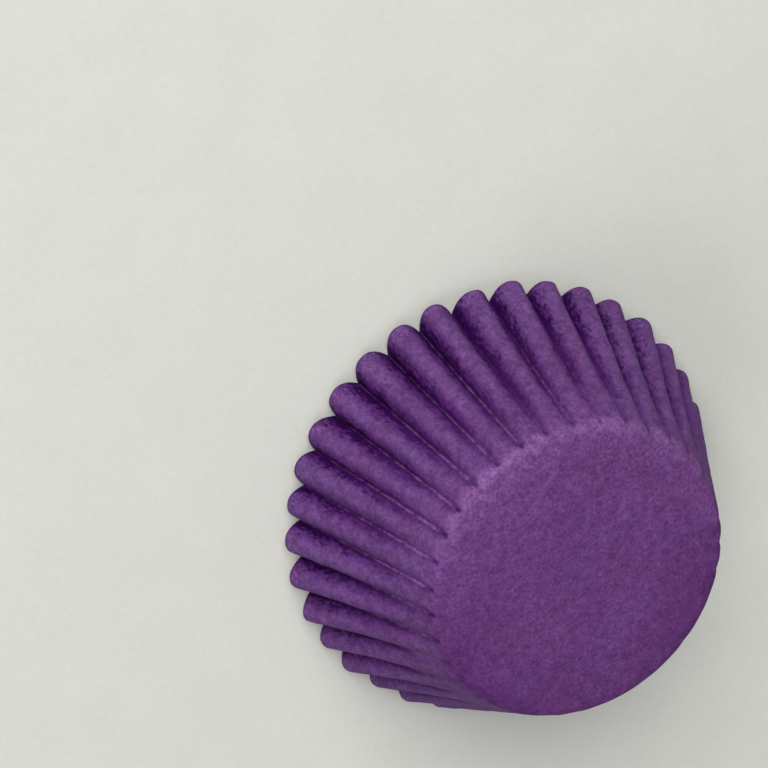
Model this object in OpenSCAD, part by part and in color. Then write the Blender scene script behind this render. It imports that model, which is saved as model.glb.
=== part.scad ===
// Fluted paper cupcake liner.
// One round sheet of thin paper, pressed into a flat-bottomed cup with a
// pleated, flared wall. It stands mouth down on its rim, base uppermost.
// Origin: on the axis, in the plane that the rim stands on. +Z: up the axis,
// from the mouth to the base.

/* [Base and wall] */
// Diameter of the base, taken at the corner where base and wall would meet
base_d = 50; // [44:1:56]
// Diameter over the ridges at the rim
rim_d = 77.9; // [73:0.1:82]
// Length of a ridge along the paper, from that corner to the rim
wall_len = 33.3; // [29:0.1:38]
// Radius of the bend between base and wall
bend_r = 1.6; // [1:0.1:2.6]
// Thickness of the paper
paper_t = 0.1; // [0.08:0.01:0.2]

/* [Pleats] */
// Number of pleats round the wall
pleats = 35; // [30:1:40]
// Depth of a pleat at the rim, from ridge to crease
pleat_depth = 3.5; // [2.4:0.1:4.2]
// Where the creases start, as a share of the bend
crease_start = 0.6; // [0.4:0.05:0.9]
// How the depth grows down the wall: 1 is straight, less starts sooner
depth_growth = 0.68; // [0.6:0.02:0.9]
// Shape across a pleat at the rim: more gives a wider ridge, narrower crease
ridge_rim = 2.4; // [1.8:0.1:3]
// The same, close to the base
ridge_base = 3; // [2.2:0.1:4]
// How much less it is halfway down the wall, where the ridges are rounder
ridge_mid = 0.7; // [0:0.1:0.8]

/* [Hidden] */

base_r = base_d / 2;
rim_r = rim_d / 2;
flare = asin((rim_r - base_r) / wall_len);    // a ridge's lean from upright
turn = 90 - flare;                            // what the bend turns through
flat_r = base_r - bend_r * tan(turn / 2);     // edge of the flat of the base
bend_len = bend_r * turn * PI / 180;
path_len = bend_len + wall_len - bend_r * tan(turn / 2);
start = bend_len * crease_start;              // creases start here

// Places across half a pleat, 0 at the ridge and 1 at the crease
half = [0, 0.28, 0.55, 0.82, 1];
// Places down the wall, as lengths of paper from the edge of the flat
down = [0, start / 2, start, bend_len,
        for (k = [0.09, 0.22, 0.41, 0.68, 1])
            bend_len + (path_len - bend_len) * k];
rows = len(down);
across = 8;
around = pleats * across;

// Radius of a ridge after a length s of paper
function ridge(s) = s < bend_len
    ? flat_r + bend_r * sin(s / bend_r * 180 / PI)
    : flat_r + bend_r * sin(turn) + (s - bend_len) * sin(flare);
// Depth of the pleats there
function depth(s) = s <= start ? 0 :
    pleat_depth * pow((s - start) / (path_len - start), depth_growth);
// How a pleat falls from its ridge to its crease
function fall(s, u) = u == 0 ? 0 :
    let (k = s / path_len)
    pow(u, ridge_base + (ridge_rim - ridge_base) * sqrt(k)
           - ridge_mid * sin(180 * pow(k, 0.8)));
// Radius of any line of the paper
function radius(s, u) = ridge(s) - depth(s) * fall(s, u);
// Paper doesn't stretch, so a line that stays further in drops further down
steps = 48;
function drop(s, u, i = 0) = i >= steps ? 0 :
    let (d = s / steps,
         r = radius(d * (i + 1), u) - radius(d * i, u))
    sqrt(max(0, d * d - r * r)) + drop(s, u, i + 1);

high = drop(path_len, 1);
rad = [for (s = down) [for (u = half) radius(s, u)]];
ht = [for (s = down) [for (u = half) s == 0 ? high : high - drop(s, u)]];

// Column j counts round the wall. In each pleat 0 is the crease, 4 the ridge.
turn_in = [-1, -0.82, -0.55, -0.28, 0, 0.28, 0.55, 0.82];
place = [4, 3, 2, 1, 0, 1, 2, 3];
shift = 360 / pleats / 8;    // centres the odd number of pleats on the axes
function angle(j) =
    (floor(j / across) + turn_in[j % across] / 2) * 360 / pleats + shift;
function outer(i, j) =
    let (p = place[j % across], a = angle(j))
    [rad[i][p] * cos(a), rad[i][p] * sin(a), ht[i][p]];
function wrap(j) = (j + around) % around;
function unit(v) = v / norm(v);
// Direction into the paper at a point of its outer face, longer at a fold so
// that the paper keeps its thickness there
function into(i, j) = i == 0 ? [0, 0, -1] :
    let (q = outer(i, j),
         a = outer(i, wrap(j + 1)), b = outer(i, wrap(j - 1)),
         c = outer(i - 1, j), d = i == rows - 1 ? q : outer(i + 1, j),
         n = unit(cross(a - b, d - c)),
         m = unit(cross(a - q, d - c)),
         o = unit(cross(q - b, d - c)),
         k = 1 / max(0.45, min(n * m, n * o)))
    // the rim is cut level, so its inner edge lies level with its outer one
    i == rows - 1 ? unit([n[0], n[1], 0]) * k / norm([n[0], n[1]]) : n * k;
function inner(i, j) = outer(i, j) + into(i, j) * paper_t;

skin_out = [for (i = [0 : rows - 1]) for (j = [0 : around - 1]) outer(i, j)];
skin_in = [for (i = [0 : rows - 1]) for (j = [0 : around - 1]) inner(i, j)];
count = rows * around;
top = 2 * count;          // centre of the base, outside
under = top + 1;          // centre of the base, inside
points = concat(skin_out, skin_in, [[0, 0, high], [0, 0, high - paper_t]]);

function o(i, j) = i * around + wrap(j);
function n(i, j) = count + i * around + wrap(j);
faces = concat(
    [for (j = [0 : around - 1]) [top, o(0, j + 1), o(0, j)]],
    [for (j = [0 : around - 1]) [under, n(0, j), n(0, j + 1)]],
    [for (i = [0 : rows - 2]) for (j = [0 : around - 1])
        each [[o(i, j), o(i, j + 1), o(i + 1, j + 1)],
              [o(i, j), o(i + 1, j + 1), o(i + 1, j)]]],
    [for (i = [0 : rows - 2]) for (j = [0 : around - 1])
        each [[n(i, j), n(i + 1, j + 1), n(i, j + 1)],
              [n(i, j), n(i + 1, j), n(i + 1, j + 1)]]],
    [for (j = [0 : around - 1])
        each [[o(rows - 1, j), o(rows - 1, j + 1), n(rows - 1, j + 1)],
              [o(rows - 1, j), n(rows - 1, j + 1), n(rows - 1, j)]]]
);

// The whole liner: base, bend and pleated wall are one sheet of paper
module liner() {
    color([0.40, 0.25, 0.50])
        polyhedron(points = points, faces = faces, convexity = 10);
}

liner();
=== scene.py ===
"""A pleated paper cupcake liner, standing mouth down on a pale floor.

Lengths inside the shape code are in millimetres, as in the construction;
the mesh is written in metres.
"""
import math

import bpy
import numpy as np
from mathutils import Matrix, Vector


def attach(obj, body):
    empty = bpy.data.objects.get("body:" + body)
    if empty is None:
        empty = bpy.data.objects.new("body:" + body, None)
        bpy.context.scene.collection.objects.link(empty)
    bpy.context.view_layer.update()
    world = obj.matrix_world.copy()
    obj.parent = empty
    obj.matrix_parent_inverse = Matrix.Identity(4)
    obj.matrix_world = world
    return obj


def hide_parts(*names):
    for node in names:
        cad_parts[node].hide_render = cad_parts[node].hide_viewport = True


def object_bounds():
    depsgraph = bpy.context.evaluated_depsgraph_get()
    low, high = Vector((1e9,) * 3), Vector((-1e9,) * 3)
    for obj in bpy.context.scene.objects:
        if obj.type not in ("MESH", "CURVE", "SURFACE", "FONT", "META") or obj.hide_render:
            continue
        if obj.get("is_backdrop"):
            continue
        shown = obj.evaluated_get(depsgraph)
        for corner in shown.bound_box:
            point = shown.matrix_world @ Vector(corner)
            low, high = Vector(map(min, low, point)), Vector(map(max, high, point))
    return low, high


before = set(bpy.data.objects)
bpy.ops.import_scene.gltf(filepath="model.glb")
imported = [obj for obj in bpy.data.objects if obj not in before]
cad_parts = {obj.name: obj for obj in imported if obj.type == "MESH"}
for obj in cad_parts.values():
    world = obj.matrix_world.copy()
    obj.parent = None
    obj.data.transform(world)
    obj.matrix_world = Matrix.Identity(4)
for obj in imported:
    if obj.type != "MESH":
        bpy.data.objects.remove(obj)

cad_box = [list(v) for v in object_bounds()]

# --------------------------------------------------------------------------
# Camera. A point P of the liner (mm) is seen at R P + t: x to the right,
# y down, z forward, with a focal length of FOCAL pixels in a 768 px frame.
# --------------------------------------------------------------------------
FOCAL = 2000.0
CAM_ROT = (-2.5783, 0.7340, -0.3745)     # rotation vector
CAM_T = (19.5762, 19.3599, 341.5173)     # mm
SHIFT = 360.0 / 35 / 8                   # the pleats' turn about the axis, degrees


def rotation(v):
    """3x3 matrix of a rotation vector."""
    v = np.array(v, float)
    a = np.linalg.norm(v)
    k = v / a
    K = np.array([[0, -k[2], k[1]], [k[2], 0, -k[0]], [-k[1], k[0], 0]])
    return np.eye(3) + math.sin(a) * K + (1 - math.cos(a)) * K @ K


c, s = math.cos(math.radians(-SHIFT)), math.sin(math.radians(-SHIFT))
R = rotation(CAM_ROT) @ np.array([[c, -s, 0], [s, c, 0], [0, 0, 1]])
EYE = -R.T @ np.array(CAM_T) / 1000.0


def to_world(v):
    """A direction given as the camera sees it (right, up, towards the eye)."""
    return R.T @ np.array([v[0], -v[1], -v[2]], float)


cam_data = bpy.data.cameras.new("camera")
cam_data.sensor_width = 36.0
cam_data.lens = FOCAL / 768.0 * 36.0
cam_data.clip_start, cam_data.clip_end = 0.01, 20.0
cam = bpy.data.objects.new("camera", cam_data)
bpy.context.scene.collection.objects.link(cam)
m = np.eye(4)
m[:3, 0], m[:3, 1], m[:3, 2], m[:3, 3] = R[0], -R[1], -R[2], EYE
cam.matrix_world = Matrix(m.tolist())
bpy.context.scene.camera = cam

# --------------------------------------------------------------------------
# The sheet of paper
# --------------------------------------------------------------------------
BASE_R, RIM_R, WALL, BEND_R = 25.0, 38.95, 33.3, 1.6
N, DEPTH, GROWTH, P_RIM, P_BASE, P_DIP = 35, 3.5, 0.68, 2.4, 3.0, 0.70
PAPER = 0.1

flare = math.asin((RIM_R - BASE_R) / WALL)
turn = math.pi / 2 - flare
flat_r = BASE_R - BEND_R * math.tan(turn / 2)
bend_len = BEND_R * turn
L = bend_len + WALL - BEND_R * math.tan(turn / 2)
START = 0.6 * bend_len
PITCH = 2 * math.pi / N
rng = np.random.default_rng(35)


def ridge(s):
    return np.where(
        s < bend_len,
        flat_r + BEND_R * np.sin(s / BEND_R),
        flat_r + BEND_R * math.sin(turn) + (s - bend_len) * math.sin(flare),
    )


def smooth(a, b, x):
    t = np.clip((x - a) / (b - a), 0, 1)
    return t * t * (3 - 2 * t)


def waves(p, seed, count, short, long):
    """A smooth random field at points p (n x k), about unit spread."""
    g = np.random.default_rng(seed)
    out = np.zeros(p.shape[0])
    for _ in range(count):
        d = g.normal(size=p.shape[1])
        d /= np.linalg.norm(d)
        w = short * (long / short) ** g.random()
        out += np.sin(p @ d * (2 * math.pi / w) + g.random() * 2 * math.pi)
    return out * math.sqrt(2.0 / count)


# What differs from pleat to pleat
crease_turn = np.clip(rng.normal(0, 0.030, N), -0.06, 0.06)      # of a pitch, at the rim
crease_turn[1:5] = [-0.04, -0.12, 0.0, 0.0]
crease_turn[7:15] = [-0.03, 0.02, -0.02, 0.0, 0.05, 0.06, 0.08, 0.03]
crease_turn0 = np.clip(rng.normal(0, 0.02, N), -0.04, 0.04)      # of a pitch, at the base
crease_depth = np.clip(rng.normal(1, 0.06, N), 0.87, 1.12)
crease_start = START + np.clip(rng.normal(0, 0.22, N), -0.4, 0.45)
crease_out = np.clip(rng.normal(0, 0.16, N), -0.3, 0.3)          # mm at the rim
crease_out[7:15] = [0.2, 0.1, -0.15, -0.45, -0.1, -0.1, 0.15, 0.35]
crease_out[4] = -0.3
ridge_out = np.clip(rng.normal(0, 0.14, N), -0.25, 0.25)
ridge_out[2] = 0.22
ridge_fat = np.clip(rng.normal(1, 0.05, N), 0.9, 1.1)
ridge_lean = np.clip(rng.normal(0, 0.05, N), -0.1, 0.1)
crease_mark = rng.random(N)
ridge_fat[2:7] = [1.12, 1.16, 1.20, 1.16, 1.10]
ridge_lean[13:17] = 0.09
# how soon a crease deepens below its start
growth = np.clip(rng.normal(GROWTH, 0.04, N), 0.60, 0.80)
growth[5:8] = [1.20, 1.35, 0.80]
growth[18:23] = [0.90, 1.15, 1.25, 1.25, 1.05]
crease_depth[13:18] = 0.88
crease_mark[19:23] = 0.0
crease_mark[0:7] = [0.3, 0.3, 0.2, 0.2, 0.2, 0.0, 0.0]
crease_mark[12:18] = [0.9, 1.0, 0.9, 1.0, 0.9, 0.8]
# dye and painted shade in the two flanks of a ridge (the one before its crown,
# the one after): how much is dark, and how far the fuller colour reaches
crease_dye_shade_a = np.clip(rng.normal(0.75, 0.22, N), 0.3, 1.1)
crease_dye_shade_b = np.clip(rng.normal(0.75, 0.22, N), 0.3, 1.1)
flank_dye_shade_a = np.clip(rng.normal(0.85, 0.2, N), 0.4, 1.15)
flank_dye_shade_b = np.clip(rng.normal(0.85, 0.2, N), 0.4, 1.15)
crease_dye_shade_a[2:8], crease_dye_shade_b[2:8] = [0.9, 0.9, 0.9, 0.9, 1.0, 1.0], [0.78, 0.82, 0.84, 0.86, 0.88, 0.94]
flank_dye_shade_a[2:8], flank_dye_shade_b[2:8] = 1.0, [0.52, 0.52, 0.54, 0.58, 0.66, 0.78]
crease_dye_shade_a[8:13], crease_dye_shade_b[8:13] = [0.70, 0.85, 0.95, 1.0, 0.9], [0.80, 0.75, 0.70, 0.65, 0.55]
flank_dye_shade_a[8:13], flank_dye_shade_b[8:13] = [0.95, 1.0, 1.1, 1.1, 1.05], [0.98, 0.95, 0.95, 1.0, 1.05]
crease_dye_shade_a[13:20], crease_dye_shade_b[13:20] = [0.72, 0.62, 0.60, 0.60, 0.6, 0.6, 0.6], [0.20, 0.0, 0.0, 0.0, 0.1, 0.2, 0.2]
flank_dye_shade_a[13:20], flank_dye_shade_b[13:20] = [0.85, 0.80, 0.75, 0.8, 0.8, 0.8, 0.8], 1.05
# a few creases hardly show near the base: how weak they are there, and where
# they have their full depth, dye and painted shade
faint, faint_s = np.zeros(N), np.full(N, 12.0)
faint[0:3], faint_s[0:3] = [0.8, 0.9, 0.8], [16.0, 16.0, 10.0]
faint[5:7] = [0.4, 0.6]
faint[18:23], faint_s[18:23] = [0.9, 1.0, 1.0, 1.0, 0.8], [19.0, 25.0, 25.0, 25.0, 22.0]
# painted light and shade round the edge of the base: above zero lighter, on the side the key lamp faces; below zero
# darker, on the far side
base_edge_lighting = np.clip(rng.normal(0.4, 0.25, N), 0.0, 1.0)
base_edge_lighting[2:13] = [0.6, 0.65, 0.7, 0.75, 0.9, 1.05, 1.25, 1.35, 1.35, 1.25, 0.9]
base_edge_lighting[13:24] = [0.45, 0.1, -0.1, -0.2, -0.35, -0.55, -0.6, -0.6, -0.5, -0.35, -0.2]
base_edge_lighting[24:35] = [-0.15, -0.15, -0.2, -0.3, -0.4, -0.45, -0.45, -0.4, -0.3, -0.15, 0.1]
base_edge_lighting[0:6] = [0.4, 0.75, 0.95, 1.0, 1.0, 1.05]

STEPS = 20
t = np.linspace(-1, 1, STEPS + 1)[:-1]
u_of = np.sign(t) * (1 - (1 - np.abs(t)) ** 1.45)
cols = N * STEPS
u = np.tile(u_of, N)
ridge_no = np.repeat(np.arange(N), STEPS)
crease_no = np.where(u < 0, ridge_no, (ridge_no + 1) % N)

rows_s = np.concatenate([
    np.linspace(0, 4.2, 13)[:-1],
    4.2 + (L - 4.2) * np.linspace(0, 1, 44) ** 0.97,
])
rows_s[-1] = L
rows_s = np.concatenate([rows_s[:-1], [L - 0.28, L]])
rows = len(rows_s)


def weakness(s):
    """How faint the crease of every column is at lengths s (m x 1) of paper."""
    return faint[crease_no] * (1 - smooth(0.3 * faint_s[crease_no], faint_s[crease_no], s))


def radius(s):
    """Radius of every column at lengths s (m x 1) of paper."""
    far = s / L
    st = crease_start[crease_no]
    run = np.clip((s - st) / (L - st), 0, None)
    d = DEPTH * crease_depth[crease_no] * run ** growth[crease_no] * (1 - 0.72 * weakness(s))
    p = (P_BASE + (P_RIM - P_BASE) * np.sqrt(far) - P_DIP * np.sin(math.pi * far ** 0.8)) * ridge_fat[ridge_no]
    lean = ridge_lean[ridge_no] * (1 - u ** 2) * far
    v = np.abs(u + lean)
    fall = v ** p
    side = np.abs(u) ** 2
    out = (ridge_out[ridge_no] * (1 - side) + crease_out[crease_no] * side) * far ** 1.5
    return ridge(s) - d * fall + out


fine = np.linspace(0, L, 420)[:, None]
rf = radius(fine)
dz = np.sqrt(np.clip(np.diff(fine, axis=0) ** 2 - np.diff(rf, axis=0) ** 2, 0, None))
zf = np.vstack([np.zeros(cols), np.cumsum(dz, axis=0)])
RAD = np.empty((rows, cols))
DROP = np.empty((rows, cols))
for j in range(cols):
    RAD[:, j] = np.interp(rows_s, fine[:, 0], rf[:, j])
    DROP[:, j] = np.interp(rows_s, fine[:, 0], zf[:, j])

# angle of every column, bent a little where its creases wander
far = (rows_s / L)[:, None]
left = (ridge_no - 0.5 + crease_turn0[ridge_no] * (1 - far) + crease_turn[ridge_no] * far)
nxt = (ridge_no + 1) % N
right = (ridge_no + 0.5 + crease_turn0[nxt] * (1 - far) + crease_turn[nxt] * far)
wander = np.stack([
    waves(rows_s[:, None], 100 + n, 9, 2.0, 9.0) * 0.013 * smooth(2.5, 6.0, rows_s) * smooth(L, L - 4.0, rows_s)
    for n in range(N)
], 1) / (2 * math.pi * 31.0 / N)
left, right = left + wander[:, ridge_no], right + wander[:, nxt]
ANG = (left + (right - left) * (u + 1) / 2) * PITCH + math.radians(SHIFT)

HIGH = cad_box[1][2] * 1000.0
P = np.stack([RAD * np.cos(ANG), RAD * np.sin(ANG), HIGH - DROP], -1)

# the base isn't quite flat: it bulges, most of all by its edge, and the bend
# takes that slope up
BULGE, ROUND, POWER = 0.33, 0.50, 9


def bulge(k):
    return BULGE * (1 - k ** 2) + ROUND * (1 - k ** POWER)


edge_slope = (2 * BULGE + POWER * ROUND) / flat_r
in_bend = np.clip(rows_s, 0, bend_len)
P[..., 2] -= (edge_slope * (in_bend - in_bend ** 2 / (2 * bend_len)))[:, None]
lift = 0.05 * waves(P[..., :2].reshape(-1, 2), 5, 10, 14, 40).reshape(rows, cols)
edge_lift = lift[0].copy()
P[..., 2] += lift[0] * (1 - smooth(0, 9, rows_s))[:, None]


def normals(P):
    across = np.roll(P, -1, 1) - np.roll(P, 1, 1)
    down = np.empty_like(P)
    down[1:-1] = P[2:] - P[:-2]
    down[0], down[-1] = P[1] - P[0], P[-1] - P[-2]
    n = np.cross(down, across)
    return n / np.linalg.norm(n, axis=-1, keepdims=True)


NRM = normals(P)
# small unevenness of pressed paper: long soft waves, and short pinches that
# cross the flanks of the creases
arc = np.stack([np.broadcast_to(rows_s[:, None], RAD.shape), ANG * 31.0], -1).reshape(-1, 2)
soft = waves(arc * np.array([0.45, 1.0]), 11, 26, 1.6, 6.0).reshape(rows, cols)
pinch = waves(arc * np.array([1.0, 0.22]), 12, 22, 0.9, 2.6).reshape(rows, cols)
near = np.abs(u) ** 3 * (1 - smooth(0.93, 1.0, np.abs(u)))
on_wall = smooth(2.0, 7.0, rows_s)[:, None]
mid = (smooth(7, 14, rows_s) * (1 - 0.6 * smooth(26, 34, rows_s)))[:, None]
strength = 0.35 + 0.9 * crease_mark[crease_no]
disp = 0.028 * soft * on_wall + 0.05 * pinch * near * mid * strength
P = P + NRM * disp[..., None]

# the rim is level with the floor where its creases end
P[..., 2] -= P[..., 2].min() * smooth(8, L, rows_s)[:, None]
NRM = normals(P)
a, b = np.roll(P, -1, 1) - P, P - np.roll(P, 1, 1)
down = np.gradient(P, axis=0)
na, nb = np.cross(down, a), np.cross(down, b)
na /= np.linalg.norm(na, axis=-1, keepdims=True)
nb /= np.linalg.norm(nb, axis=-1, keepdims=True)
mitre = 1 / np.clip(np.minimum((NRM * na).sum(-1), (NRM * nb).sum(-1)), 0.5, 1)
INTO = -NRM * (mitre * PAPER)[..., None]
INTO[0] = [0, 0, -PAPER]
flat = INTO[-1].copy(); flat[:, 2] = 0
INTO[-1] = flat / np.linalg.norm(flat, axis=-1, keepdims=True) * np.linalg.norm(INTO[-1], axis=-1, keepdims=True)
Q = P + INTO

# the base, as rings that shrink to its centre
share = 1 - np.array([0.02, 0.05, 0.09, 0.14, 0.20, 0.28, 0.38, 0.50, 0.65, 0.84])
rim0 = P[0]
B = []
for k in share:
    ring = rim0.copy()
    ring[:, :2] *= k
    w = 0.05 * waves(ring[:, :2], 5, 10, 14, 40)
    ring[:, 2] = HIGH + w + bulge(k)
    B.append(ring)
B = np.array(B)
centre = np.array([0, 0, HIGH + bulge(0.0) + 0.05 * waves(np.zeros((1, 2)), 5, 10, 14, 40)[0]])

nb_rows = len(share)
outer = np.concatenate([B[::-1].reshape(-1, 3), P.reshape(-1, 3)])
inner = np.concatenate([(B[::-1] + [0, 0, -PAPER]).reshape(-1, 3), Q.reshape(-1, 3)])
half = len(outer)
verts = np.concatenate([outer, inner, [centre, centre - [0, 0, PAPER]]])

all_rows = nb_rows + rows
j0 = np.arange(cols)
j1 = (j0 + 1) % cols
quads_out, quads_in = [], []
for i in range(all_rows - 1):
    a, b = i * cols, (i + 1) * cols
    quads_out.append(np.stack([a + j0, b + j0, b + j1, a + j1], -1))
    quads_in.append(half + np.stack([a + j0, a + j1, b + j1, b + j0], -1))
e = (all_rows - 1) * cols
quads_edge = np.stack([e + j0, half + e + j0, half + e + j1, e + j1], -1)
tri_out = np.stack([j0, j1, np.full(cols, 2 * half)], -1)
tri_in = np.stack([half + j1, half + j0, np.full(cols, 2 * half + 1)], -1)
n_out = (all_rows - 1) * cols
faces = [tuple(f) for f in np.concatenate(quads_out).tolist()]
faces += [tuple(f) for f in tri_out.tolist()]
faces += [tuple(f) for f in quads_edge.tolist()]
kinds = [0] * len(faces)
extra = [tuple(f) for f in np.concatenate(quads_in).tolist()]
extra += [tuple(f) for f in tri_in.tolist()]
faces += extra
kinds += [1] * len(extra)

mesh = bpy.data.meshes.new("liner_paper")
mesh.from_pydata((verts / 1000.0).tolist(), [], faces)
mesh.polygons.foreach_set("material_index", kinds)
mesh.polygons.foreach_set("use_smooth", [True] * len(faces))

# Where each point lies on the sheet, for the material: millimetres past the
# base's edge, and millimetres across the paper from the nearest crease
dist = -np.linalg.norm(B[::-1][..., :2] - rim0[None, :, :2], axis=-1)
s_at = np.concatenate([dist.ravel(), np.repeat(rows_s, cols)])
half_arc = np.empty((rows, cols))
from_crown = np.empty((rows, cols))
step = np.linalg.norm(np.roll(P, -1, 1) - P, axis=-1)            # col j to j+1
cum = np.concatenate([np.zeros((rows, 1)), np.cumsum(step, 1)], 1)
for n in range(N):
    lo, hi = n * STEPS, (n + 1) * STEPS
    sec = cum[:, lo:hi] - cum[:, lo:lo + 1]
    full = (cum[:, hi] - cum[:, lo])[:, None]
    half_arc[:, lo:hi] = np.minimum(sec, full - sec)
    from_crown[:, lo:hi] = sec - full / 2 + 12.0 * n
crown = np.repeat(half_arc.reshape(rows, N, STEPS).max(2), STEPS, axis=1)
w_all = half_arc / crown
c_at = np.concatenate([np.full(nb_rows * cols, 4.0), half_arc.ravel()])
c_at[nb_rows * cols:(nb_rows + 1) * cols] = 4.0
w_at = np.concatenate([np.ones(nb_rows * cols), w_all.ravel()])
w_at[nb_rows * cols:(nb_rows + 1) * cols] = 1.0
over = smooth(-0.25, 0.25, u)
weak = np.concatenate([np.zeros(nb_rows * cols), weakness(rows_s[:, None]).ravel()])
k_at = np.tile(crease_mark[crease_no], all_rows) - 0.3 * weak
# per flank: how much dye and painted shade lies beside the creases and down the flanks
crease_shade_at = np.tile(crease_dye_shade_a[ridge_no] + (crease_dye_shade_b - crease_dye_shade_a)[ridge_no] * over, all_rows) - 0.8 * weak
flank_shade_at = np.tile(flank_dye_shade_a[ridge_no] + (flank_dye_shade_b - flank_dye_shade_a)[ridge_no] * over, all_rows) - 0.8 * weak
lighting_at_edge = np.tile(np.interp(ridge_no + u / 2, np.arange(-1, N + 1), base_edge_lighting[np.arange(-1, N + 1) % N]), all_rows)
on_sheet = np.concatenate([
    np.stack([np.repeat(dist[:, :, None], 1, 2)[..., 0], np.broadcast_to(ANG[0] * 31.0, dist.shape), 0 * dist], -1).reshape(-1, 3),
    np.stack([np.broadcast_to(rows_s[:, None], ANG.shape), from_crown, 0 * ANG], -1).reshape(-1, 3),
]) / 1000.0
for name, val, mid_val in (("paper_s", s_at, -25.0), ("paper_c", c_at, 4.0), ("paper_w", w_at, 1.0), ("paper_k", k_at, 0.5),
                            ("paper_crease_shade", crease_shade_at, 0.7), ("paper_flank_shade", flank_shade_at, 0.7), ("paper_edge_lighting", lighting_at_edge, 0.6)):
    att = mesh.attributes.new(name, "FLOAT", "POINT")
    att.data.foreach_set("value", np.concatenate([val, val, [mid_val, mid_val]]).astype(np.float32))
att = mesh.attributes.new("paper_p", "FLOAT_VECTOR", "POINT")
att.data.foreach_set("vector", np.concatenate([on_sheet, on_sheet, np.zeros((2, 3))]).astype(np.float32).ravel())
mesh.validate()
mesh.update()

liner = bpy.data.objects.new("liner_paper", mesh)
bpy.context.scene.collection.objects.link(liner)
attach(liner, "root")
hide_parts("liner")


# --------------------------------------------------------------------------
# Materials
# --------------------------------------------------------------------------
class Tree:
    """Short names for building a node tree."""

    def __init__(self, name):
        self.mat = bpy.data.materials.new(name)
        self.mat.use_nodes = True
        self.t = self.mat.node_tree
        self.t.nodes.clear()
        self.coord = self.t.nodes.new("ShaderNodeTexCoord").outputs["Object"]

    def put(self, socket, value):
        if isinstance(value, bpy.types.NodeSocket):
            self.t.links.new(value, socket)
        else:
            socket.default_value = value

    def math(self, op, a, b=0.0, c=None, clamp=False):
        n = self.t.nodes.new("ShaderNodeMath")
        n.operation, n.use_clamp = op, clamp
        self.put(n.inputs[0], a)
        self.put(n.inputs[1], b)
        if c is not None:
            self.put(n.inputs[2], c)
        return n.outputs[0]

    def ramp(self, x, a, b, lo=0.0, hi=1.0, kind="SMOOTHSTEP"):
        n = self.t.nodes.new("ShaderNodeMapRange")
        n.interpolation_type = kind
        n.clamp = True
        self.put(n.inputs["Value"], x)
        n.inputs["From Min"].default_value, n.inputs["From Max"].default_value = a, b
        n.inputs["To Min"].default_value, n.inputs["To Max"].default_value = lo, hi
        return n.outputs["Result"]

    def attr(self, name):
        n = self.t.nodes.new("ShaderNodeAttribute")
        n.attribute_name = name
        return n.outputs["Fac"]

    def along(self, name, scale, offset=(0, 0, 0)):
        """Coordinates on the sheet: down the wall, and round it."""
        n = self.t.nodes.new("ShaderNodeAttribute")
        n.attribute_name = name
        return self.mapped(scale, offset=offset, base=n.outputs["Vector"])

    def mapped(self, scale, turn=(0, 0, 0), offset=(0, 0, 0), base=None):
        n = self.t.nodes.new("ShaderNodeMapping")
        self.put(n.inputs["Vector"], base or self.coord)
        n.inputs["Scale"].default_value = scale
        n.inputs["Rotation"].default_value = turn
        n.inputs["Location"].default_value = offset
        return n.outputs[0]

    def noise(self, scale, detail=2.0, rough=0.55, warp=0.0, vec=None):
        n = self.t.nodes.new("ShaderNodeTexNoise")
        self.put(n.inputs["Vector"], vec or self.coord)
        n.inputs["Scale"].default_value = scale
        n.inputs["Detail"].default_value = detail
        n.inputs["Roughness"].default_value = rough
        n.inputs["Distortion"].default_value = warp
        return n.outputs["Fac"]

    def mix(self, f, a, b, how="MIX"):
        n = self.t.nodes.new("ShaderNodeMix")
        n.data_type, n.blend_type = "RGBA", how
        self.put(n.inputs[0], f)
        self.put(n.inputs[6], a if isinstance(a, bpy.types.NodeSocket) else (*a, 1))
        self.put(n.inputs[7], b if isinstance(b, bpy.types.NodeSocket) else (*b, 1))
        return n.outputs[2]

    def shader(self, colour, rough, bumps, specular=0.3, sheen=0.0):
        p = self.t.nodes.new("ShaderNodeBsdfPrincipled")
        self.put(p.inputs["Base Color"], colour)
        self.put(p.inputs["Roughness"], rough)
        p.inputs["Specular IOR Level"].default_value = specular
        p.inputs["Sheen Weight"].default_value = sheen
        p.inputs["Sheen Roughness"].default_value = 0.6
        normal = None
        for height, dist, strength in bumps:
            b = self.t.nodes.new("ShaderNodeBump")
            b.inputs["Distance"].default_value = dist
            b.inputs["Strength"].default_value = strength
            self.put(b.inputs["Height"], height)
            if normal is not None:
                self.put(b.inputs["Normal"], normal)
            normal = b.outputs[0]
        if normal is not None:
            self.put(p.inputs["Normal"], normal)
        o = self.t.nodes.new("ShaderNodeOutputMaterial")
        self.t.links.new(p.outputs[0], o.inputs[0])
        return self.mat

    def fibres(self):
        """Thin threads lying every way, as a 0 to 1 field."""
        best = None
        for k, (ax, ay, az) in enumerate([(0.3, 0.2, 0.4), (1.2, 0.5, 1.5), (0.7, 1.4, 2.6), (2.1, 0.9, 0.9)]):
            v = self.mapped((900, 5200, 5200), (ax, ay, az), (3.1 * k, 1.7 * k, 0.6 * k))
            f = self.noise(1.0, 1.5, 0.5, 0.35, v)
            f = self.ramp(f, 0.56, 0.72)
            best = f if best is None else self.math("MAXIMUM", best, f)
        return best


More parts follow.
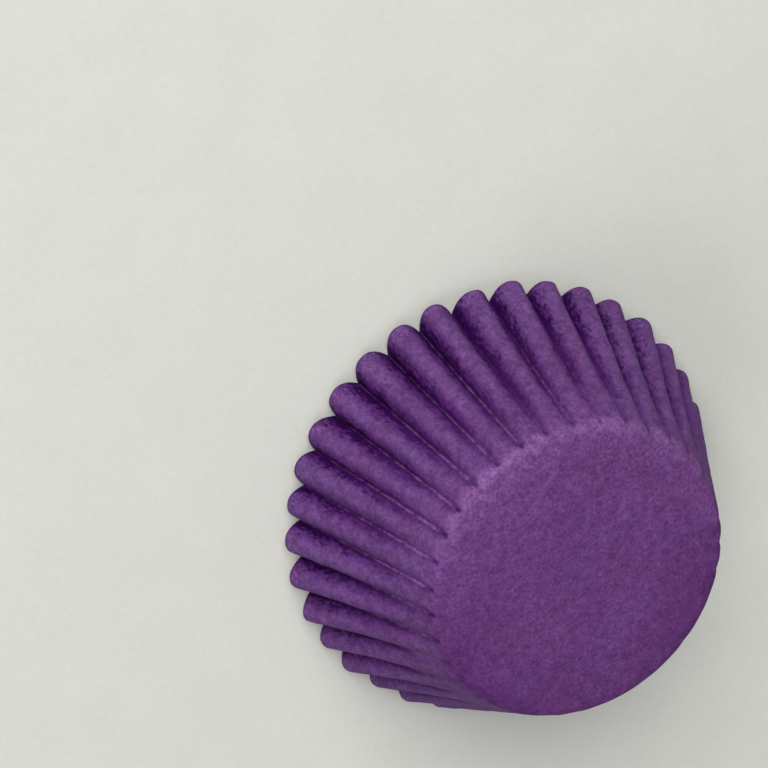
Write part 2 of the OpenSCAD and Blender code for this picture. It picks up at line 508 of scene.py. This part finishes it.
def outside():
    T = Tree("purple_paper")
    s, c, w, k = T.attr("paper_s"), T.attr("paper_c"), T.attr("paper_w"), T.attr("paper_k")
    crease_shade_k, flank_shade_k, edge_lit = T.attr("paper_crease_shade"), T.attr("paper_flank_shade"), T.attr("paper_edge_lighting")
    g1 = T.noise(3200, 1.0, 0.5)
    g2 = T.noise(1900, 1.0, 0.5)
    g3 = T.noise(640, 1.0, 0.5)
    hue = T.noise(800, 1.0, 0.5, 0.0, T.mapped((1, 1, 1), offset=(0.31, 0.17, 0.23)))
    g4 = T.noise(95, 1.5, 0.5)
    cloud = T.noise(95, 1.0, 0.5, 0.0, T.mapped((1, 1, 1), offset=(0.71, 0.43, 0.57)))
    fib = T.fibres()
    col = T.mix(T.ramp(hue, 0.34, 0.66), (0.1225, 0.0389, 0.161), (0.1155, 0.0397, 0.169))
    # the dye drifts a little between redder and bluer
    col = T.mix(1.0, col, T.mix(T.ramp(cloud, 0.32, 0.68, kind="LINEAR"), (0.976, 1.034, 1.024), (1.024, 0.966, 0.979)), "MULTIPLY")
    # painted shade: the wall a little darker and bluer than the base
    col = T.mix(T.ramp(s, 0.0, 5.0), col, T.mix(1.0, col, (0.825, 0.955, 0.90), "MULTIPLY"))
    # a little lighter on the crowns of the ridges; painted highlight round the bend and across the base towards it
    # on the side the key lamp faces
    crown = T.math("MULTIPLY", T.ramp(w, 0.45, 1.0), T.ramp(s, 0.5, 3.0))
    bend_highlight = T.math("ADD", T.math("MULTIPLY", T.math("MULTIPLY", T.ramp(s, -0.7, 0.9), T.ramp(s, 3.4, 1.2)), 0.66),
                  T.math("MULTIPLY", T.math("MULTIPLY", T.ramp(s, -5.0, -0.8), T.ramp(s, 3.4, 1.0)), 0.36))
    lit_base_edge = T.math("MULTIPLY", T.math("MULTIPLY", T.ramp(s, -17.0, -1.0), T.ramp(s, 3.5, 1.5)), T.math("MULTIPLY_ADD", edge_lit, 0.085, 0.01))
    crown_and_bend_light = T.math("MULTIPLY", T.math("ADD", lit_base_edge, T.math("MAXIMUM", T.math("MULTIPLY", crown, 0.065), T.math("MULTIPLY", T.math("MULTIPLY", bend_highlight, 0.40), edge_lit))),
                 T.ramp(g2, 0.35, 0.62, 0.72, 1.0))
    col = T.mix(crown_and_bend_light, col, (0.200, 0.096, 0.272))
    # and on the side away from the key lamp, painted shade: a little darker along the bend and towards it
    bend_shade = T.math("MULTIPLY", T.math("MULTIPLY", T.ramp(s, -4.0, 0.6), T.ramp(s, 3.6, 1.2)), T.ramp(edge_lit, 0.0, -0.6, 0.0, 0.55, "LINEAR"))
    base_shade = T.math("MULTIPLY", T.math("MULTIPLY", T.ramp(s, -14.0, -1.0), T.ramp(s, 3.6, 1.2)), T.ramp(edge_lit, 0.0, -0.45, 0.0, 0.26, "LINEAR"))
    col = T.mix(T.math("MAXIMUM", bend_shade, base_shade), col, (0.062, 0.0085, 0.098))
    # fuller, darker colour down the flanks of the ridges: partly dye, partly painted shade
    wf = T.math("SUBTRACT", w, T.math("MULTIPLY_ADD", flank_shade_k, 0.55, -0.55))
    full = T.math("MULTIPLY", T.ramp(wf, 0.93, 0.40), T.ramp(s, 2.5, 14.0, 0.05, 1.0))
    col = T.mix(T.math("MULTIPLY", full, T.ramp(crease_shade_k, 0.0, 1.0, 0.50, 0.82)), col, T.mix(1.0, col, (0.72, 0.34, 0.84), "MULTIPLY"))
    # darker beside the creases: partly pressed, dense dye, speckled where it fades
    # into the crown, partly painted shade in the creases, more so towards the rim
    speck = T.math("MULTIPLY_ADD", T.noise(1.0, 1.0, 0.5, 0.0, T.along("paper_p", (950, 1500, 1))), 1.15, -0.575)
    blot = T.math("MULTIPLY_ADD", T.noise(1.0, 2.0, 0.6, 0.4, T.along("paper_p", (330, 650, 1), (0.7, 0.2, 0))), 1.0, -0.50)
    near = T.math("ADD", T.math("SUBTRACT", 1.0, w), T.math("MULTIPLY", T.math("ADD", speck, blot), T.ramp(s, 3, 13, 0.15, 0.85)))
    near = T.math("ADD", near, T.ramp(s, 17, 30, 0.0, 0.06))
    near = T.math("ADD", near, T.math("MULTIPLY_ADD", k, 0.10, -0.05))
    near = T.math("ADD", near, T.math("MULTIPLY_ADD", crease_shade_k, 0.50, -0.50))
    crease_dye_and_shade = T.ramp(near, 0.31, 0.78)
    crease_dye_and_shade = T.math("MULTIPLY", crease_dye_and_shade, T.ramp(s, 2.0, 27.0, 0.28, 1.0, "LINEAR"))
    crease_dye_and_shade = T.math("MULTIPLY", crease_dye_and_shade, T.ramp(s, 1.0, 2.2))
    # painted shade: a narrow dark band close beside each crease line
    crease_dye_and_shade = T.math("MAXIMUM", crease_dye_and_shade, T.math("MULTIPLY", T.math("MULTIPLY", T.ramp(c, 1.25, 0.35), T.ramp(s, 5.0, 16.0)), 0.80))
    col = T.mix(crease_dye_and_shade, col, (0.0235, 0.0010, 0.053))
    # painted shade: a dark point where a crease starts, where its two flanks meet
    crease_start_shade = T.math("MAXIMUM", T.math("MULTIPLY", T.ramp(c, 0.60, 0.12), T.math("MULTIPLY", T.ramp(s, 0.9, 1.5), T.ramp(s, 3.0, 2.0))),
                 T.math("MULTIPLY", T.math("MULTIPLY", T.ramp(c, 1.25, 0.15), 0.45), T.math("MULTIPLY", T.ramp(s, 1.3, 2.4), T.ramp(s, 6.5, 3.0))))
    col = T.mix(T.math("MULTIPLY", crease_start_shade, T.math("MULTIPLY_ADD", k, 0.35, 0.55)), col, (0.030, 0.004, 0.070))
    # worn fold line along the bottom of a crease
    broken = T.ramp(T.noise(1.0, 2.0, 0.6, 0.0, T.mapped((900, 900, 900), offset=(7, 3, 1))), 0.36, 0.58, 0.25, 1.0)
    line = T.math("MULTIPLY", T.ramp(c, 0.52, 0.08), T.math("MULTIPLY", T.ramp(s, 2.6, 4.2), T.ramp(s, 30, 7, 0.42, 1.0)))
    col = T.mix(T.math("MULTIPLY", T.math("MULTIPLY", line, broken), T.math("MULTIPLY_ADD", k, 0.62, 0.15)), col, (0.200, 0.085, 0.245))
    # value: fine grain, mottle and slow drift
    val = T.math("MULTIPLY_ADD", T.math("SUBTRACT", g1, 0.5), T.ramp(s, -2.5, 1.0, 0.54, 0.28), 1.0)
    val = T.math("MULTIPLY", val, T.math("MULTIPLY_ADD", T.math("SUBTRACT", g2, 0.5), T.ramp(s, -2.5, 1.0, 1.03, 0.90), 1.0))
    val = T.math("MULTIPLY", val, T.math("MULTIPLY_ADD", T.math("SUBTRACT", g3, 0.5), T.ramp(s, -2.5, 1.0, 0.62, 0.95), 1.0))
    val = T.math("MULTIPLY", val, T.math("MULTIPLY_ADD", T.math("SUBTRACT", g4, 0.5), 0.34, 1.0))
    val = T.math("MULTIPLY_ADD", fib, 0.16, T.math("MULTIPLY", val, 0.97))
    # more dye takes more of the green than of the red and blue
    grey = T.t.nodes.new("ShaderNodeCombineColor")
    for i, power in enumerate((1.0, 1.3, 0.93)):
        T.put(grey.inputs[i], T.math("POWER", val, power))
    col = T.mix(1.0, col, grey.outputs[0], "MULTIPLY")
    # darker at the cut edge, partly the edge's own colour and partly painted shade; and worn flecks just inside it
    rim = T.ramp(s, L - 0.40, L - 0.05)
    col = T.mix(T.math("MULTIPLY", rim, 0.36), col, (0.030, 0.006, 0.070))
    fleck = T.math("MULTIPLY", T.ramp(T.noise(2300, 1.0, 0.5), 0.58, 0.68), T.math("MULTIPLY", T.ramp(s, L - 3.2, L - 1.2), T.ramp(s, L - 0.2, L - 0.5)))
    col = T.mix(T.math("MULTIPLY", T.math("MULTIPLY", fleck, T.ramp(w, 0.35, 0.8)), 0.35), col, (0.30, 0.15, 0.36))
    rough = T.math("MULTIPLY_ADD", g2, 0.16, 0.64)
    h = T.math("MULTIPLY_ADD", fib, 0.55, T.math("MULTIPLY_ADD", g1, 0.65, T.math("MULTIPLY", g2, 0.8)))
    return T.shader(col, rough, [(h, 0.000035, 0.55), (T.noise(520, 2.0, 0.5), 0.00010, 0.35)], 0.07, 0.0)


def inside():
    T = Tree("lilac_paper")
    s, c, k = T.attr("paper_s"), T.attr("paper_c"), T.attr("paper_k")
    g1 = T.noise(4200, 2.5, 0.6)
    g2 = T.noise(1500, 2.5, 0.6)
    g3 = T.noise(520, 2.0, 0.5)
    g4 = T.noise(95, 1.5, 0.5)
    fib = T.fibres()
    col = T.mix(T.ramp(g2, 0.34, 0.66), (0.300, 0.262, 0.330), (0.420, 0.365, 0.410))
    col = T.mix(T.math("MULTIPLY", T.ramp(g3, 0.52, 0.70), 0.5), col, (0.250, 0.235, 0.310))
    val = T.math("MULTIPLY_ADD", g1, 0.55, 0.73)
    val = T.math("MULTIPLY", val, T.math("MULTIPLY_ADD", g4, 0.14, 0.93))
    val = T.math("MULTIPLY_ADD", fib, 0.14, val)
    grey = T.t.nodes.new("ShaderNodeCombineColor")
    for i in range(3):
        T.put(grey.inputs[i], val)
    col = T.mix(1.0, col, grey.outputs[0], "MULTIPLY")
    wall = T.ramp(s, 0.5, 2.5)
    col = T.mix(T.math("MULTIPLY", wall, 0.35), col, (0.230, 0.205, 0.235))
    # worn folds, light, with short pinches across them at mid height
    pinch = T.ramp(T.noise(1.0, 2.5, 0.6, 0.8, T.mapped((700, 700, 700), offset=(2, 9, 4))), 0.55, 0.66)
    zone = T.math("MULTIPLY", T.ramp(c, 1.2, 0.2), T.math("MULTIPLY", T.ramp(s, 8, 14), T.ramp(s, 30, 24)))
    col = T.mix(T.math("MULTIPLY", T.math("MULTIPLY", pinch, zone), 0.55), col, (0.52, 0.46, 0.52))
    fold = T.math("MULTIPLY", T.ramp(c, 0.30, 0.08), T.ramp(s, 2.0, 5.0))
    col = T.mix(T.math("MULTIPLY", fold, 0.45), col, (0.50, 0.43, 0.50))
    rim = T.ramp(s, L - 0.9, L - 0.15)
    col = T.mix(T.math("MULTIPLY", rim, 0.6), col, (0.42, 0.30, 0.47))
    rough = T.math("MULTIPLY_ADD", g2, 0.2, 0.55)
    h = T.math("MULTIPLY_ADD", fib, 0.55, T.math("MULTIPLY_ADD", g1, 0.65, T.math("MULTIPLY", g2, 0.8)))
    return T.shader(col, rough, [(h, 0.000035, 0.55), (T.noise(520, 2.0, 0.5), 0.00010, 0.35)], 0.12, 0.0)


mesh.materials.append(outside())
mesh.materials.append(inside())

# --------------------------------------------------------------------------
# Floor and light
# --------------------------------------------------------------------------
T = Tree("floor_pale")
fg = T.noise(1000, 3.0, 0.6)
fg2 = T.noise(90, 3.0, 0.55)
fcol = T.mix(T.math("MULTIPLY_ADD", fg, 0.6, T.math("MULTIPLY", fg2, 0.4)), (0.592, 0.597, 0.560), (0.722, 0.727, 0.684))
T.shader(fcol, T.math("MULTIPLY_ADD", fg, 0.1, 0.7), [(fg, 0.00002, 0.3)], 0.2)
fm = bpy.data.meshes.new("floor")
S = 3.0
fm.from_pydata([(-S, -S, 0), (S, -S, 0), (S, S, 0), (-S, S, 0)], [], [(0, 1, 2, 3)])
fm.materials.append(T.mat)
floor = bpy.data.objects.new("floor", fm)
bpy.context.scene.collection.objects.link(floor)
floor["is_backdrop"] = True


def lamp(name, direction, distance, size, power, colour):
    d = Vector(to_world(direction)).normalized()
    data = bpy.data.lights.new(name, "AREA")
    data.shape, data.size = "DISK", size
    data.energy, data.color = power, colour
    o = bpy.data.objects.new(name, data)
    bpy.context.scene.collection.objects.link(o)
    target = Vector((0, 0, HIGH / 2000.0))
    o.location = target + d * distance
    o.rotation_mode = "QUATERNION"
    o.rotation_quaternion = (-d).to_track_quat("-Z", "Y")
    return o


lamp("key", (-0.12, 0.43, 0.895), 1.50, 1.50, 25.8, (1.0, 0.985, 0.96))
lamp("fill", (-0.40, -0.74, 0.54), 1.50, 1.20, 7.2, (1.0, 0.975, 0.975))

world = bpy.data.worlds.new("studio")
bpy.context.scene.world = world
world.use_nodes = True
bg = world.node_tree.nodes.get("Background") or world.node_tree.nodes.new("ShaderNodeBackground")
bg.inputs["Color"].default_value = (0.97, 0.985, 1.0, 1)
bg.inputs["Strength"].default_value = 0.335

view = bpy.context.scene.view_settings
view.view_transform = "Standard"
view.look = "None"
view.exposure, view.gamma = 0.0, 1.0

lo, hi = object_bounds()
